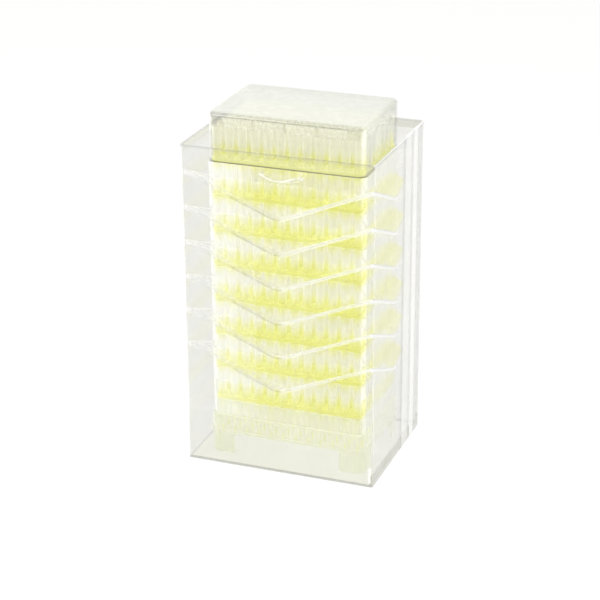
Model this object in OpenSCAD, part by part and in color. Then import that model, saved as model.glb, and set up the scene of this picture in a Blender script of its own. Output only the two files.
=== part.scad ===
// Box of pipette tips: a clear outer carton holding a tower of nested racks.
// Each tier is a yellow deck with a full grid of tips, carried by a clear
// sleeve with sloping corner gussets. The tower stands on a frosted base and
// a clear cap covers the top tier.
// Origin: middle of the carton's underside. +X right, +Y back, +Z up.

/* [Tip grid] */
// Columns of tips across a rack
cols = 12; // [4:1:12]
// Rows of tips from front to back
rows = 8; // [2:1:8]
// Spacing between neighbouring tips
tip_pitch = 9; // [8.5:0.1:10]

/* [Tips] */
// Outer radius of the hub
hub_r = 3.2; // [3.1:0.05:3.4]
// How far the collar at the mouth stands out from the hub
collar_out = 0.15; // [0.1:0.05:0.3]
// Height of the collar at the mouth
collar_h = 3; // [1:0.5:6]
// Inner radius of the mouth
mouth_r = 2.6; // [2.55:0.05:2.8]
// Outer radius just under the deck
neck_r = 2.35; // [2:0.05:2.4]
// Wall of the neck
neck_wall = 0.6; // [0.4:0.05:0.8]
// Outer radius of the slender end
end_r = 0.5; // [0.4:0.05:0.7]
// Bore radius of the slender end
end_bore_r = 0.25; // [0.15:0.05:0.3]
// How far the hub's foot reaches over the edge of its hole
seat_hold = 0.35; // [0.25:0.05:0.45]
// Length of a tip below the top of its deck
tip_drop = 30; // [26:1:36]

/* [Decks] */
// Thickness of a deck
deck_t = 2.2; // [1.5:0.1:3]
// Distance from the outermost hole centres to the deck's edge
deck_edge = 4; // [3.7:0.1:5]
// Corner radius of a deck
deck_corner = 4.5; // [2:0.5:6]

/* [Tiers] */
// Number of racks in the tower
tiers = 8; // [2:1:8]
// Height from one deck to the next
tier_pitch = 24.6; // [20:0.2:30]

/* [Sleeves] */
// Thickness of the formed clear sheet
film = 0.7; // [0.5:0.05:1]
// How far a skirt hangs below its deck
skirt_drop = 10.5; // [8:0.5:12]
// How far the ledge reaches under the edge of the deck
ledge_hold = 1.2; // [0.8:0.1:1.6]
// Tiers at the foot of the tower whose sleeves have no flange
plain_tiers = 1; // [0:1:2]
// Height of the turned-down lip along a flange's outer edge
lip_drop = 2; // [1:0.5:4]
// Half of the width over which the valleys of a flange are rounded
valley_half = 5; // [2:0.5:10]
// Width of the thumb tab on the top sleeve
tab_w = 28; // [16:1:40]
// Corner radius of the thumb tab
tab_corner = 5; // [2:0.5:7]

/* [Cap] */
// Height of the cap
cap_h = 33.8; // [30:0.2:45]
// Radius along the cap's top edges
cap_edge = 2.5; // [2:0.5:5]
// Number of shallow panels along the cap's front and back top edges
cap_panels = 4; // [2:1:6]
// Spacing of those panels
panel_pitch = 22; // [16:0.5:24]
// Gap between neighbouring panels
panel_gap = 2.4; // [1:0.2:4]
// Height of a panel
panel_h = 6.5; // [3:0.5:8]
// How deep a panel is pressed in
panel_in = 0.9; // [0.5:0.1:1.2]
// Radius of the half-round grip on each end of the cap
grip_r = 23; // [12:1:26]
// How deep the grip is pressed in
grip_in = 0.8; // [0.5:0.1:1]
// How far the bead round the cap's lower edge stands out
bead_out = 0.5; // [0.3:0.1:0.8]
// Height of that bead
bead_h = 1.2; // [0.8:0.1:2]

/* [Base] */
// Free height under the tip ends of the lowest rack
tip_ground = 13.2; // [8:0.2:20]
// Wall of the base
base_wall = 1.5; // [1:0.1:2.5]
// How far the base's foot part stands out from its neck
base_step = 2; // [1:0.1:4]
// Height of the open arches between the feet
arch_h = 17; // [8:0.5:20]
// Width of a foot measured along the front
foot_w = 18; // [12:0.5:26]
// Width of a foot measured along the side
foot_d = 15; // [10:0.5:20]
// Corner radius of the arches
arch_corner = 4; // [1:0.5:6]
// How far the bead over the arches stands out
arch_bead = 1; // [0.5:0.1:1.5]
// Height of the bead over the arches
arch_bead_h = 1.8; // [1:0.1:3]

/* [Outer carton] */
// Free space between the sleeves and the side walls
side_space = 10.9; // [8:0.1:16]
// Free space between the sleeves and the front and back walls
front_space = 13.7; // [8:0.1:18]
// Thickness of the walls
wall = 0.7; // [0.5:0.05:1.2]
// Thickness of the floor
floor_t = 0.9; // [0.6:0.1:2]
// Outer radius of the upright folds
fold_r = 1.4; // [1.3:0.1:3]
// Height of the rim above the underside of the top deck
rim_above = 14.8; // [8:0.2:20]
// How far the rim stands out
rim_out = 0.5; // [0.3:0.1:1]
// Height of the rim's band
rim_h = 1.6; // [1:0.2:4]
// Width of the glued seam flap inside the right wall
seam_w = 19; // [10:1:24]
// Thickness of the seam flap
seam_t = 0.5; // [0.3:0.05:0.7]

/* [Clearances] */
// Neck of a tip in its hole, each side
hole_slip = 0.2; // [0.1:0.05:0.3]
// Deck inside a sleeve or the cap, each side
deck_slip = 0.35; // [0.2:0.05:0.6]
// Skirt round the sleeve below it, each side
skirt_slip = 0.3; // [0.2:0.05:0.5]
// Upright gap between parts of neighbouring tiers
stack_gap = 0.4; // [0.2:0.05:0.6]
// Flange edges to the carton's inner faces
flange_slip = 0.4; // [0.3:0.05:0.8]

/* [Hidden] */
round_fn = 48;
tip_fn = 32;
// Overlap that makes cuts and unions clean
eps = 0.01;

grid_w = (cols - 1) * tip_pitch;
grid_d = (rows - 1) * tip_pitch;

// Tips
hole_r = neck_r + hole_slip;
seat_r = hole_r + seat_hold;
neck_bore_r = neck_r - neck_wall;
hub_h = tier_pitch - deck_t - film - stack_gap;

// Deck outline, and the outlines that grow from it one fit at a time
deck_w = grid_w + 2 * deck_edge;
deck_d = grid_d + 2 * deck_edge;
grow_inner = deck_slip;
grow_neck = grow_inner + film;
grow_skirt_in = grow_neck + skirt_slip;
grow_skirt = grow_skirt_in + film;
sleeve_w = deck_w + 2 * grow_skirt;
sleeve_d = deck_d + 2 * grow_skirt;

// Heights
base_h = tip_drop + tip_ground - deck_t;
box_h = base_h + (tiers - 1) * tier_pitch + rim_above;
function deck_z(i) = base_h + (i - 1) * tier_pitch;

// Carton
inner_w = sleeve_w + 2 * side_space;
inner_d = sleeve_d + 2 * front_space;
box_w = inner_w + 2 * wall;
box_d = inner_d + 2 * wall;

// Flange: an upside-down four-sided roof, low at mid-wall, high at the corners
flange_w = inner_w - 2 * (seam_t + flange_slip);
flange_d = inner_d - 2 * flange_slip;
flange_slope = (tier_pitch - film - 3 * stack_gap) / (deck_w / 2 + grow_skirt);
roof_drop = skirt_drop - stack_gap - film + roof_rise(0) + roof_rise(sleeve_d / 2);
step_h = tier_pitch - skirt_drop - stack_gap;

// Base
neck_base_z = base_h - film - skirt_drop - stack_gap;

// ---- shared outlines and solids ----

// Rectangle with rounded corners, centred
module round_rect(w, d, r) {
    hull_w = w - 2 * r;
    hull_d = d - 2 * r;
    square([w, hull_d], center = true);
    square([hull_w, d], center = true);
    for (x = [-1, 1], y = [-1, 1])
        translate([x * hull_w / 2, y * hull_d / 2]) circle(r, $fn = round_fn);
}

// The deck's outline grown outwards by g
module deck_outline(g) {
    round_rect(deck_w + 2 * g, deck_d + 2 * g, deck_corner + g);
}

// Upright tube between two growths of the deck's outline
module deck_tube(g_out, g_in, h) {
    linear_extrude(h) difference() {
        deck_outline(g_out);
        deck_outline(g_in);
    }
}

// Places its children at every position of the tip grid
module on_grid() {
    for (c = [0:cols - 1], r = [0:rows - 1])
        translate([c * tip_pitch - grid_w / 2, r * tip_pitch - grid_d / 2, 0]) children();
}

// How far the flange's roof rises at a distance u from a valley, which is
// rounded in three flats. With the rises along X and Y added, valleys cross.
function roof_rise(u) =
    flange_slope * max(abs(u), (abs(u) + valley_half) / 2, valley_half * 2 / 3);

// Solid over the upside-down roof, from low_z in the middle up to top_z
module roof_space(low_z, top_z) {
    bends = [box_w, valley_half, valley_half / 3];
    marks = concat(-bends, [for (k = [2:-1:0]) bends[k]]);
    n = len(marks);
    last = n - 1;
    corners = [[0, 0], [last, 0], [last, last], [0, last]];
    under = [for (y = marks, x = marks) [x, y, low_z + roof_rise(x) + roof_rise(y)]];
    over = [for (c = corners) [marks[c[0]], marks[c[1]], top_z]];
    top = n * n;
    polyhedron(
        points = concat(under, over),
        faces = concat(
            [for (j = [0:last - 1], i = [0:last - 1])
                [j * n + i, j * n + i + 1, (j + 1) * n + i + 1, (j + 1) * n + i]],
            [[top, top + 3, top + 2, top + 1]],
            [concat([top, top + 1], [for (i = [last:-1:0]) i])],
            [concat([top + 2, top + 3], [for (i = [0:last]) last * n + i])],
            [concat([top + 1, top + 2], [for (j = [last:-1:0]) j * n + last])],
            [concat([top + 3, top], [for (j = [0:last]) j * n])]
        )
    );
}

// Block with rounded uprights of radius r and a rounded top edge of radius e
module soft_block(w, d, h, r, e) {
    module side(len) {
        square([len, h - e]);
        square([len - e, h]);
        translate([len - e, h - e]) intersection() {
            circle(e, $fn = round_fn);
            square(e);
        }
    }
    module prism(half, len)
        rotate([90, 0, 90])
            linear_extrude(len, center = true)
                for (m = [0, 1]) mirror([m, 0]) side(half);
    for (x = [-1, 1], y = [-1, 1])
        translate([x * (w / 2 - r), y * (d / 2 - r), 0])
            rotate_extrude($fn = round_fn) side(r);
    prism(d / 2, w - 2 * r);
    rotate(90) prism(w / 2, d - 2 * r);
}

// ---- outer carton ----

module outer_carton() {
    color([0.93, 0.95, 0.93, 0.3]) {
        difference() {
            union() {
                linear_extrude(box_h) round_rect(box_w, box_d, fold_r);
                translate([0, 0, box_h - rim_h])
                    linear_extrude(rim_h)
                        round_rect(box_w + 2 * rim_out, box_d + 2 * rim_out, fold_r);
            }
            translate([0, 0, floor_t])
                linear_extrude(box_h)
                    round_rect(inner_w, inner_d, fold_r - wall);
        }
        seam_flap();
    }
}

// The strip that closes the carton, glued inside the right wall at the back
module seam_flap() {
    corner_clear = fold_r;
    translate([inner_w / 2 - seam_t, inner_d / 2 - corner_clear - seam_w, floor_t])
        cube([seam_t + wall / 2, seam_w, box_h - floor_t - rim_h]);
}

// ---- frosted base ----

module rack_base() {
    foot_grow = grow_neck + base_step;
    shoulder_z = neck_base_z - base_wall;
    neck_top = base_h - film;
    color([0.96, 0.97, 0.93]) difference() {
        union() {
            translate([0, 0, floor_t])
                deck_tube(foot_grow, foot_grow - base_wall, neck_base_z - floor_t);
            translate([0, 0, shoulder_z])
                deck_tube(foot_grow, grow_neck - base_wall, base_wall);
            translate([0, 0, shoulder_z])
                deck_tube(grow_neck, grow_neck - base_wall, neck_top - shoulder_z);
            translate([0, 0, arch_h])
                deck_tube(foot_grow + arch_bead, foot_grow - eps, arch_bead_h);
        }
        arch_cut(deck_w + 2 * foot_grow - 2 * foot_w, 2 * box_d, 0);
        arch_cut(deck_d + 2 * foot_grow - 2 * foot_d, 2 * box_w, 90);
    }
}

// Opening with rounded upper corners, running right through under the base
module arch_cut(w, len, turn) {
    h = arch_h - floor_t;
    rotate(turn) translate([0, 0, floor_t])
        rotate([90, 0, 0]) linear_extrude(len, center = true) {
            translate([-w / 2, -eps]) square([w, h - arch_corner + eps]);
            translate([-w / 2 + arch_corner, -eps]) square([w - 2 * arch_corner, h + eps]);
            for (x = [-1, 1])
                translate([x * (w / 2 - arch_corner), h - arch_corner])
                    circle(arch_corner, $fn = round_fn);
        }
}

// ---- sleeves ----

// A sleeve: skirt, ledge for the deck and, below the top tier, a neck that
// carries the next sleeve. Above the plain tiers, a flange reaches the carton's walls.
module sleeve(i) {
    top_one = i == tiers;
    z = deck_z(i);
    color([0.9, 0.93, 0.92, 0.4]) translate([0, 0, z]) {
        wide_top = top_one ? 0 : step_h;
        translate([0, 0, -skirt_drop])
            deck_tube(grow_skirt, grow_skirt_in, skirt_drop + wide_top);
        translate([0, 0, -film])
            deck_tube(grow_skirt, -ledge_hold, film);
        if (top_one) {
            thumb_tab();
        } else {
            translate([0, 0, step_h - film])
                deck_tube(grow_skirt, grow_inner, film);
            translate([0, 0, step_h - film])
                deck_tube(grow_neck, grow_inner, tier_pitch - step_h);
            if (i > plain_tiers) flange();
        }
    }
}

// Sheet that follows the upside-down roof, between heights lo and hi over it
module roof_sheet(lo, hi) {
    top_z = 2 * roof_rise(box_w);
    difference() {
        roof_space(lo - roof_drop, top_z);
        roof_space(hi - roof_drop, top_z + hi - lo);
    }
}

// The sloping flange from the skirt out to the carton's walls, and its lip
module flange() {
    roof_band(0) {
        square([flange_w, flange_d], center = true);
        deck_outline(grow_skirt_in + film / 2);
    }
    roof_band(-lip_drop) {
        square([flange_w, flange_d], center = true);
        square([flange_w - 2 * film, flange_d - 2 * film], center = true);
    }
}

// Roof sheet from height lo up to the film's top, kept where the first
// outline lies and the second doesn't
module roof_band(lo) {
    intersection() {
        roof_sheet(lo, film);
        translate([0, 0, -tier_pitch]) linear_extrude(3 * tier_pitch) difference() {
            children(0);
            children(1);
        }
    }
}

// The top sleeve's flange is cut back to a small tab in front
module thumb_tab() {
    tab_d = (flange_d - sleeve_d) / 2 + film / 2;
    intersection() {
        roof_sheet(0, film);
        translate([0, -flange_d / 2 + tab_d / 2, -2 * tier_pitch])
            linear_extrude(4 * tier_pitch) {
                round_rect(tab_w, tab_d, tab_corner);
                translate([0, tab_d / 4]) square([tab_w, tab_d / 2], center = true);
            }
    }
}

// ---- decks and tips ----

module deck(i) {
    color([0.93, 0.92, 0.25]) translate([0, 0, deck_z(i)])
        linear_extrude(deck_t) difference() {
            deck_outline(0);
            on_grid() circle(hole_r, $fn = tip_fn);
        }
}

// One tip, its shoulder at height zero
module tip() {
    collar_z = hub_h - collar_h;
    rotate_extrude($fn = tip_fn) polygon([
        [end_bore_r, -tip_drop], [end_r, -tip_drop], [neck_r, -deck_t],
        [neck_r, 0], [seat_r, 0], [hub_r, collar_z],
        [hub_r + collar_out, collar_z], [hub_r + collar_out, hub_h],
        [mouth_r, hub_h], [neck_bore_r, 0]
    ]);
}

module tips(i) {
    color([0.97, 0.98, 0.95]) translate([0, 0, deck_z(i) + deck_t]) on_grid() tip();
}

// ---- cap ----

module cap() {
    color([0.92, 0.94, 0.93, 0.4]) translate([0, 0, deck_z(tiers)]) difference() {
        union() {
            cap_form(0);
            deck_tube(grow_neck + bead_out, grow_inner + film / 2, bead_h);
        }
        translate([0, 0, -eps]) cap_form(film);
    }
}

// The cap's form, or its hollow when inset by the sheet's thickness
module cap_form(inset) {
    w = deck_w + 2 * (grow_neck - inset);
    d = deck_d + 2 * (grow_neck - inset);
    h = cap_h - inset + (inset > 0 ? eps : 0);
    difference() {
        soft_block(w, d, h, deck_corner + grow_neck - inset, cap_edge - inset);
        for (m = [0, 1]) mirror([0, m, 0]) panel_cuts(inset);
        for (m = [0, 1]) mirror([m, 0, 0]) grip_cut(inset);
    }
}

// Shallow panels pressed into the top edge of one long side
module panel_cuts(inset) {
    face = deck_d / 2 + grow_neck;
    panel_w = panel_pitch - panel_gap + 2 * inset;
    for (k = [0:cap_panels - 1])
        translate([(k - (cap_panels - 1) / 2) * panel_pitch, -face, cap_h - cap_edge])
            translate([-panel_w / 2, -cap_edge, -panel_h - inset])
                cube([panel_w, cap_edge + panel_in + inset, panel_h + 2 * inset]);
}

// Half-round grip pressed into one end, clear of the deck's edge
module grip_cut(inset) {
    face = deck_w / 2 + grow_neck;
    foot_z = deck_t + stack_gap + film;
    translate([face - grip_in - inset, 0, foot_z])
        rotate([90, 0, 90]) intersection() {
            cylinder(h = 2 * cap_edge, r = grip_r + inset, $fn = 2 * round_fn);
            translate([-grip_r - inset, -inset, 0])
                cube([2 * (grip_r + inset), grip_r + 2 * inset, 2 * cap_edge]);
        }
}

// ---- the whole part ----

outer_carton();
rack_base();
for (i = [1:tiers]) {
    sleeve(i);
    deck(i);
    tips(i);
}
cap();
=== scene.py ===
"""Box of pipette tips: the finishes, the moulded tips, the light and the camera.

The fixed frame gives every solid its place. This script dresses those solids,
builds the tips as light meshes of the same form, and sets up a pale studio.
"""

from __future__ import annotations

import logging
import math
from dataclasses import dataclass, field
from enum import Enum
from typing import Any

import bpy
import numpy as np
from mathutils import Matrix, Vector

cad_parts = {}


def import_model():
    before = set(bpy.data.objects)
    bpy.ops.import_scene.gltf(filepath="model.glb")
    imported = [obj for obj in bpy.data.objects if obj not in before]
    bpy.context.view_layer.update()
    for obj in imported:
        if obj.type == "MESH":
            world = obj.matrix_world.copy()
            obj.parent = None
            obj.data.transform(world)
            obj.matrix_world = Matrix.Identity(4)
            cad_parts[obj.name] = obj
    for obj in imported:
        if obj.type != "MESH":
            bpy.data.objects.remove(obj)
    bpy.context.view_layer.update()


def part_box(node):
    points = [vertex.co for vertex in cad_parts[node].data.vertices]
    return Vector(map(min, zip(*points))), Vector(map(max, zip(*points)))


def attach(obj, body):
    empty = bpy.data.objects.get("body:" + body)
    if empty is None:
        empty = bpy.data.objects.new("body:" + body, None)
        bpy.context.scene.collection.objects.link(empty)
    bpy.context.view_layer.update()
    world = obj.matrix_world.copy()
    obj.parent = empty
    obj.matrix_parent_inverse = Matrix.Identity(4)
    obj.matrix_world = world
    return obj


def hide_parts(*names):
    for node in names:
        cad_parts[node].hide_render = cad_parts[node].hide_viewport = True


# Short names for the parts of a material
Tree = bpy.types.NodeTree
Node = bpy.types.Node
Socket = bpy.types.NodeSocket

LOG = logging.getLogger("pipette_tip_box")
MM = 0.001

# Heights from one deck to the next, and from the ground to the top of the highest deck,
# in millimetres
TIER_PITCH = 24.6
HIGHEST_DECK = 215.4
# Typical refraction of the two plastics
POLYESTER_IOR = 1.57
POLYPROPYLENE_IOR = 1.49
# The lean whose fifth power gives the mirrored share is an even blend of facing and edge
EVEN_BLEND = 0.5
MIRROR_POWER = 5.0
# Noise mostly stays between these, which are taken as its least and most
NOISE_LIMITS = (0.3, 0.7)
# Noise over the first of these leaves a smudge, which is whole at the second
SMUDGE_LIMITS = (0.45, 0.75)
# Further than any point of the box, in millimetres
FAR = 1000.0


class Slot(str, Enum):
    """The record's material slots that new pieces take. The frame's solids have theirs."""

    TIP = "natural_polypropylene"


class Kind(str, Enum):
    """The kinds of shader node used."""

    BACKGROUND = "ShaderNodeBackground"
    BUMP = "ShaderNodeBump"
    COMBINE_COLOUR = "ShaderNodeCombineColor"
    COMBINE_XYZ = "ShaderNodeCombineXYZ"
    DIFFUSE = "ShaderNodeBsdfDiffuse"
    EMISSION = "ShaderNodeEmission"
    GLOSSY = "ShaderNodeBsdfGlossy"
    LAYER_WEIGHT = "ShaderNodeLayerWeight"
    LIGHT_PATH = "ShaderNodeLightPath"
    MAP_RANGE = "ShaderNodeMapRange"
    MATH = "ShaderNodeMath"
    MIX_COLOUR = "ShaderNodeMix"
    MIX_SHADER = "ShaderNodeMixShader"
    NOISE = "ShaderNodeTexNoise"
    PLACE = "ShaderNodeTexCoord"
    PRINCIPLED = "ShaderNodeBsdfPrincipled"
    SEPARATE_XYZ = "ShaderNodeSeparateXYZ"
    SURFACE_OUT = "ShaderNodeOutputMaterial"
    TRANSLUCENT = "ShaderNodeBsdfTranslucent"
    TRANSPARENT = "ShaderNodeBsdfTransparent"
    VECTOR_MATH = "ShaderNodeVectorMath"
    WORLD_OUT = "ShaderNodeOutputWorld"


# ---------------------------------------------------------------- helpers


def srgb(hex_code: str) -> tuple[float, float, float, float]:
    """Turns an sRGB hex colour into linear light.

    Args:
        hex_code: Six hex digits, with or without a leading hash.

    Returns:
        Linear red, green and blue, and an alpha of 1.
    """
    digits = hex_code.lstrip("#")
    values = np.array([int(digits[i : i + 2], 16) for i in (0, 2, 4)]) / 255.0
    linear = np.where(values <= 0.04045, values / 12.92, ((values + 0.055) / 1.055) ** 2.4)
    return (*linear.tolist(), 1.0)


def add_node(tree: Tree, kind: Kind, values: dict[str | int, Any] | None = None) -> Node:
    """Adds a node, with its settings and what feeds it.

    Args:
        tree: The node tree to add to.
        kind: The node's kind.
        values: What is set or linked, by the node's own property or by input name or
            number. A socket, or a node by its first output, is linked to the input.

    Returns:
        The new node.
    """
    node = tree.nodes.new(kind.value)
    for key, value in (values or {}).items():
        if isinstance(value, Node):
            value = value.outputs[0]
        if isinstance(value, Socket):
            tree.links.new(value, node.inputs[key])
        elif isinstance(key, str) and hasattr(node, key):
            setattr(node, key, value)
        else:
            node.inputs[key].default_value = value
    return node


def new_material(name: str) -> tuple[bpy.types.Material, Tree]:
    """Makes an empty node material.

    Args:
        name: The finish's name.

    Returns:
        The material and its cleared node tree.
    """
    material = bpy.data.materials.new(name)
    material.use_nodes = True
    material.node_tree.nodes.clear()
    return material, material.node_tree


def let_light_in(tree: Tree, seen: Node | Socket, colour: str, share: float) -> Node:
    """Lets more of the light between surfaces through a finish than the eye sees through it.

    A stack of many clear sheets keeps little light out, because what one sheet
    scatters comes out of the next, which takes more bounces than can be followed.

    Args:
        tree: The material's node tree.
        seen: The finish as the eye sees it.
        colour: What the passing light is tinted to.
        share: How much of the passing light goes straight through.

    Returns:
        The node that gives the finish's surface.
    """
    rays = add_node(tree, Kind.LIGHT_PATH)
    unseen = add_node(
        tree,
        Kind.MATH,
        {
            "operation": "MAXIMUM",
            0: rays.outputs["Is Shadow Ray"],
            1: rays.outputs["Is Diffuse Ray"],
        },
    )
    part = add_node(tree, Kind.MATH, {"operation": "MULTIPLY", 1: share, 0: unseen})
    passed = add_node(tree, Kind.TRANSPARENT, {"Color": srgb(colour)})
    return add_node(tree, Kind.MIX_SHADER, {0: part, 1: seen, 2: passed})


def per_metre(size_mm: float) -> float:
    """Noise scale, in cells per metre, for a pattern of that size in millimetres."""
    return 1.0 / (size_mm * MM)


def mesh_from_arrays(
    name: str, points: np.ndarray, quads: np.ndarray, sharp_deg: float
) -> bpy.types.Object:
    """Puts whole arrays of points and four-sided faces into a new piece.

    Args:
        name: The piece's name.
        points: Places in metres, one row each.
        quads: Point numbers of each face, four to a row, counter-clockwise from outside.
        sharp_deg: Edges that turn by more than this stay crisp.

    Returns:
        The piece's object, linked to the scene.
    """
    mesh = bpy.data.meshes.new(name)
    mesh.vertices.add(len(points))
    mesh.vertices.foreach_set("co", points.astype(np.float32).ravel())
    mesh.loops.add(quads.size)
    mesh.loops.foreach_set("vertex_index", quads.astype(np.int32).ravel())
    mesh.polygons.add(len(quads))
    mesh.polygons.foreach_set("loop_start", np.arange(len(quads), dtype=np.int32) * 4)
    mesh.update(calc_edges=True)
    mesh.shade_smooth()
    mesh.set_sharp_from_angle(angle=math.radians(sharp_deg))
    piece = bpy.data.objects.new(name, mesh)
    bpy.context.scene.collection.objects.link(piece)
    return piece


def dress(node_name: str, material: bpy.types.Material) -> None:
    """Gives one of the frame's solids its finish.

    Args:
        node_name: The solid's node.
        material: The finish.
    """
    piece = bpy.data.objects[node_name]
    piece.data.materials.clear()
    piece.data.materials.append(material)
    LOG.info("dressed %s with %s", node_name, material.name)


# ---------------------------------------------------------------- finishes


class Axis(str, Enum):
    """The frame's axes, named as the coordinate node's outputs are."""

    X = "X"
    Y = "Y"
    Z = "Z"


@dataclass(frozen=True)
class Span:
    """A stretch along one axis, in millimetres.

    With both_sides the distance from the middle is meant. With a pitch the
    stretch comes again at every pitch.
    """

    axis: Axis
    low: float = -FAR
    high: float = FAR
    both_sides: bool = False
    pitch: float = 0.0

    def holds(self, tree: Tree, parts: Node) -> Socket:
        """Tests a point.

        Args:
            tree: The material's node tree.
            parts: The node that gives the point's X, Y and Z in metres.

        Returns:
            A socket that is 1 inside the stretch and 0 outside.
        """
        value = parts.outputs[self.axis.value]
        if self.pitch:
            value = add_node(
                tree, Kind.MATH, {"operation": "FLOORED_MODULO", 1: self.pitch * MM, 0: value}
            ).outputs[0]
        if self.both_sides:
            value = add_node(tree, Kind.MATH, {"operation": "ABSOLUTE", 0: value}).outputs[0]
        middle, half = (self.low + self.high) / 2 * MM, (self.high - self.low) / 2 * MM
        near = add_node(tree, Kind.MATH, {"operation": "COMPARE", 1: middle, 2: half, 0: value})
        return near.outputs[0]


def both(axis: Axis, low: float, high: float = FAR) -> Span:
    """Spans the two stretches whose distance from the middle lies between low and high."""
    return Span(axis, low, high, both_sides=True)


def each_tier(low: float, high: float) -> Span:
    """Spans the heights between low and high, and the same again at every tier."""
    return Span(Axis.Z, low, high, pitch=TIER_PITCH)


class Quality(str, Enum):
    """What a mark adds to a sheet, named as the mark's own fields are."""

    HAZE = "haze"
    SHADE = "shade"
    WARMTH = "warmth"


@dataclass(frozen=True)
class Mark:
    """A place where a sheet is hazier, darker or, with warmth, yellower than elsewhere."""

    # Most marks use these for painted highlights (haze), painted shade (shade) and painted yellow
    # light from the decks (warmth)
    haze: float = 0.0
    shade: float = 0.0
    warmth: float = 0.0

    def tests(self, tree: Tree, parts: Node) -> list[Socket]:
        """Lists sockets that are all 1 inside the mark."""
        raise NotImplementedError

    def inside(self, tree: Tree, parts: Node) -> Socket:
        """Joins the tests.

        Args:
            tree: The material's node tree.
            parts: The node that gives the point's X, Y and Z in metres.

        Returns:
            A socket that is 1 inside the mark and 0 outside.
        """
        first, *others = self.tests(tree, parts)
        for other in others:
            product = add_node(tree, Kind.MATH, {"operation": "MULTIPLY", 0: first, 1: other})
            first = product.outputs[0]
        return first


@dataclass(frozen=True)
class Zone(Mark):
    """A mark that fills a box, given by its spans."""

    spans: tuple[Span, ...] = ()

    def tests(self, tree: Tree, parts: Node) -> list[Socket]:
        """Lists one test for each span."""
        return [span.holds(tree, parts) for span in self.spans]


@dataclass(frozen=True)
class Arch(Mark):
    """A mark along a half ring that stands upright on both end walls, in millimetres."""

    foot_z: float = 0.0
    radius: float = 10.0
    width: float = 1.0
    wall_x: float = 0.0

    def tests(self, tree: Tree, parts: Node) -> list[Socket]:
        """Lists the tests.

        Args:
            tree: The material's node tree.
            parts: The node that gives the point's X, Y and Z in metres.

        Returns:
            Three sockets: near the ring's radius, over its foot, and at an end wall.
        """
        flat = add_node(tree, Kind.COMBINE_XYZ, {1: parts.outputs["Y"], 2: parts.outputs["Z"]})
        reach = add_node(
            tree,
            Kind.VECTOR_MATH,
            {"operation": "DISTANCE", 1: (0.0, 0.0, self.foot_z * MM), 0: flat},
        )
        near = add_node(
            tree,
            Kind.MATH,
            {
                "operation": "COMPARE",
                1: self.radius * MM,
                2: self.width / 2 * MM,
                0: reach.outputs["Value"],
            },
        )
        over = Span(Axis.Z, self.foot_z).holds(tree, parts)
        wall = both(Axis.X, self.wall_x).holds(tree, parts)
        return [near.outputs[0], over, wall]


@dataclass(frozen=True)
class SlopeBand(Mark):
    """A mark along the sleeves' flanges, which rise from a rounded valley in the middle.

    Lengths are in millimetres. The band lies between two heights over the slope,
    and comes again at every tier.
    """

    along: Axis = Axis.X
    low: float = 0.0
    high: float = 1.0
    spans: tuple[Span, ...] = ()
    steepness: float = 0.4086
    valley: float = 3.33
    pitch: float = TIER_PITCH

    def tests(self, tree: Tree, parts: Node) -> list[Socket]:
        """Lists the tests.

        A point's height over the slope is z less steepness times the larger of |x| (or
        |y|) and valley, and what is left of it after whole pitches lies between low and high.

        Args:
            tree: The material's node tree.
            parts: The node that gives the point's X, Y and Z in metres.

        Returns:
            A socket for the height over the slope, and one for each span.
        """
        way = parts.outputs[self.along.value]
        aside = add_node(tree, Kind.MATH, {"operation": "ABSOLUTE", 0: way})
        run = add_node(tree, Kind.MATH, {"operation": "MAXIMUM", 1: self.valley * MM, 0: aside})
        over = add_node(
            tree,
            Kind.MATH,
            {"operation": "MULTIPLY_ADD", 1: -self.steepness, 0: run, 2: parts.outputs["Z"]},
        )
        height = add_node(
            tree, Kind.MATH, {"operation": "FLOORED_MODULO", 1: self.pitch * MM, 0: over}
        )
        middle, half = (self.low + self.high) / 2 * MM, (self.high - self.low) / 2 * MM
        near = add_node(tree, Kind.MATH, {"operation": "COMPARE", 1: middle, 2: half, 0: height})
        return [near.outputs[0], *(span.holds(tree, parts) for span in self.spans)]


@dataclass(frozen=True)
class Slant:
    """How far a surface leans from the eye, and what that does to light.

    A leaning sheet is thicker along the line of sight, and it mirrors more.
    """

    least: float = 0.08
    facing_mirror: float = 0.049

    def path(self, tree: Tree, facing: Socket) -> Socket:
        """Works out the length of the way through a wall.

        Args:
            tree: The material's node tree.
            facing: The lean, 0 face on and 1 edge on.

        Returns:
            One over the sum of the cosine, which is 1 less the lean, and least.
        """
        most = 1.0 + self.least
        cosine = add_node(tree, Kind.MATH, {"operation": "SUBTRACT", 0: most, 1: facing})
        length = add_node(tree, Kind.MATH, {"operation": "DIVIDE", 0: 1.0, 1: cosine})
        return length.outputs[0]

    def mirrored(self, tree: Tree, facing: Socket) -> Socket:
        """Works out the mirrored share.

        Args:
            tree: The material's node tree.
            facing: The lean, 0 face on and 1 edge on.

        Returns:
            facing_mirror, plus the rest times the lean to the fifth power.
        """
        steep = add_node(tree, Kind.MATH, {"operation": "POWER", 1: MIRROR_POWER, 0: facing})
        share = add_node(
            tree,
            Kind.MATH,
            {
                "operation": "MULTIPLY_ADD",
                1: 1.0 - self.facing_mirror,
                2: self.facing_mirror,
                0: steep,
            },
        )
        return share.outputs[0]


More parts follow.
